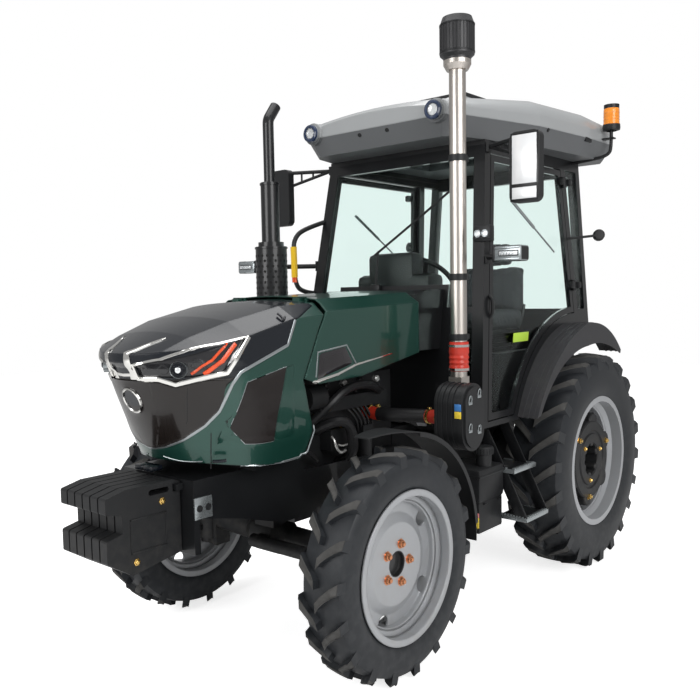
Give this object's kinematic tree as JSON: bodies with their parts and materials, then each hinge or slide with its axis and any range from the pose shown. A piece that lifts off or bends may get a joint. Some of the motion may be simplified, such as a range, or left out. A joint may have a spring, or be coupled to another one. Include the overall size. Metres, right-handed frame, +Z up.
{
  "type": "farm tractor with four driven wheels and a closed cab",
  "caption": "Compact farm tractor with closed cab, lugged tyres, hinged bonnet and doors, steered front wheels, front weights and a three-point hitch.",
  "frame": {"origin": "on the ground under the middle of the tractor's overall length, on its middle plane", "axes": "+X to the tractor's left, -Y to its front, +Z up"},
  "size_m": [1.88, 3.8855, 2.9473],
  "materials": {
    "paint_green": "gloss metallic",
    "paint_black": "satin",
    "gloss_black": "gloss",
    "cast_black": "painted",
    "roof_grey": "gloss",
    "trim_grey": "matte",
    "plastic_black": "matte",
    "glass_green": "tinted",
    "tyre": "matte",
    "rim_silver": "satin",
    "steel": "satin",
    "stainless": "polished",
    "lamp": "clear",
    "red_rubber": "satin",
    "seat_cloth": "woven"
  },
  "bodies": {
    "chassis": {"engine": "cast_black", "radiator": "paint_black", "front_frame": "paint_black", "front_axle": "cast_black", "transmission": "cast_black", "drawbar": "paint_black", "front_weights": "cast_black", "fuel_tank": "plastic_black", "battery_box": "plastic_black", "steps": "paint_black", "cab_frame": "paint_black", "cab_floor": "plastic_black", "front_glass": "glass_green", "rear_glass": "glass_green", "quarter_glass": "glass_green", "roof": "roof_grey", "roof_fascia": "trim_grey", "roof_lamps": "lamp", "side_lamps": "lamp", "mirrors": "plastic_black", "rear_fender_left": "plastic_black", "rear_fender_right": "plastic_black", "dashboard": "plastic_black", "steering_wheel": "plastic_black", "seat": "seat_cloth", "exhaust": "paint_black", "intake": "stainless", "air_box": "plastic_black", "hoses": "red_rubber", "cowl": "paint_green"},
    "bonnet": {"bonnet": "paint_green", "bonnet_crown": "gloss_black", "grille": "plastic_black", "headlamps": "lamp"},
    "door_left": {"door_left": "paint_black", "door_glass_left": "glass_green"},
    "door_right": {"door_right": "paint_black", "door_glass_right": "glass_green"},
    "roof_hatch": {"roof_hatch": "trim_grey"},
    "knuckle_left": {"knuckle_left": "cast_black", "front_fender_left": "plastic_black"},
    "knuckle_right": {"knuckle_right": "cast_black", "front_fender_right": "plastic_black"},
    "wheel_front_left": {"tyre_front_left": "tyre", "rim_front_left": "rim_silver"},
    "wheel_front_right": {"tyre_front_right": "tyre", "rim_front_right": "rim_silver"},
    "wheel_rear_left": {"tyre_rear_left": "tyre", "rim_rear_left": "rim_silver"},
    "wheel_rear_right": {"tyre_rear_right": "tyre", "rim_rear_right": "rim_silver"},
    "track_rod": {"track_rod": "steel"},
    "steering_rod": {"steering_rod": "steel"},
    "lower_links": {"lower_links": "paint_black"},
    "lift_arms": {"lift_arms": "paint_black"},
    "lift_rods": {"lift_rods": "paint_black"},
    "top_link": {"top_link": "steel"},
    "pto_shaft": {"pto_shaft": "steel"}
  },
  "joints": [
    {"name": "steer_left", "type": "hinge", "parent": "chassis", "child": "knuckle_left", "pos_m": [0.505, -0.89, 0.497], "axis": [0, 0, 1], "range_deg": [-40, 40]},
    {"name": "steer_right", "type": "hinge", "parent": "chassis", "child": "knuckle_right", "pos_m": [-0.505, -0.89, 0.497], "axis": [0, 0, 1], "range_deg": [-40, 40]},
    {"name": "track_rod_swing", "type": "hinge", "parent": "knuckle_left", "child": "track_rod", "pos_m": [0.505, -0.73, 0.42], "axis": [0, 0, 1], "range_deg": [-40, 40]},
    {"name": "steering_rod_slide", "type": "slide", "parent": "chassis", "child": "steering_rod", "axis": [1, 0, 0], "range_m": [-0.103, 0.103]},
    {"name": "wheel_front_left_spin", "type": "hinge", "parent": "knuckle_left", "child": "wheel_front_left", "pos_m": [0.672, -0.89, 0.497], "axis": [1, 0, 0], "continuous": true},
    {"name": "wheel_front_right_spin", "type": "hinge", "parent": "knuckle_right", "child": "wheel_front_right", "pos_m": [-0.672, -0.89, 0.497], "axis": [1, 0, 0], "continuous": true},
    {"name": "wheel_rear_left_spin", "type": "hinge", "parent": "chassis", "child": "wheel_rear_left", "pos_m": [0.659, 1.01, 0.63], "axis": [1, 0, 0], "continuous": true},
    {"name": "wheel_rear_right_spin", "type": "hinge", "parent": "chassis", "child": "wheel_rear_right", "pos_m": [-0.659, 1.01, 0.63], "axis": [1, 0, 0], "continuous": true},
    {"name": "bonnet_lift", "type": "hinge", "parent": "chassis", "child": "bonnet", "pos_m": [0, -0.918, 1.63], "axis": [-1, 0, 0], "range_deg": [0, 50]},
    {"name": "door_left_swing", "type": "hinge", "parent": "chassis", "child": "door_left", "pos_m": [0.5755, 1.0798, 1.9], "axis": [-0.0746, -0.0736, 0.9945], "range_deg": [0, 60]},
    {"name": "door_right_swing", "type": "hinge", "parent": "chassis", "child": "door_right", "pos_m": [-0.5755, 1.0798, 1.9], "axis": [-0.0746, 0.0736, -0.9945], "range_deg": [0, 60]},
    {"name": "roof_hatch_lift", "type": "hinge", "parent": "chassis", "child": "roof_hatch", "pos_m": [0, 0.915, 2.706], "axis": [-1, 0, 0], "range_deg": [0, 15]},
    {"name": "lower_links_lift", "type": "hinge", "parent": "chassis", "child": "lower_links", "pos_m": [0, 1.16, 0.42], "axis": [1, 0, 0], "range_deg": [-8, 35]},
    {"name": "lift_arms_swing", "type": "hinge", "parent": "chassis", "child": "lift_arms", "pos_m": [0, 1.08, 0.94], "axis": [1, 0, 0], "range_deg": [-8, 35]},
    {"name": "lift_rods_swing", "type": "hinge", "parent": "lower_links", "child": "lift_rods", "pos_m": [0, 1.58974, 0.40499], "axis": [1, 0, 0], "range_deg": [-35, 8]},
    {"name": "top_link_swing", "type": "hinge", "parent": "chassis", "child": "top_link", "pos_m": [0, 1.425, 0.9], "axis": [1, 0, 0], "range_deg": [-125, 0]},
    {"name": "pto_shaft_spin", "type": "hinge", "parent": "chassis", "child": "pto_shaft", "pos_m": [0, 1.21, 0.6], "axis": [0, 1, 0], "continuous": true}
  ],
  "couplings": [
    {"joint": "steer_right", "follows": "steer_left", "ratio": 1},
    {"joint": "track_rod_swing", "follows": "steer_left", "ratio": -1},
    {"joint": "steering_rod_slide", "follows": "steer_left", "m_per_rad": 0.14732},
    {"joint": "lift_arms_swing", "follows": "lower_links_lift", "ratio": 1},
    {"joint": "lift_rods_swing", "follows": "lower_links_lift", "ratio": -1}
  ]
}
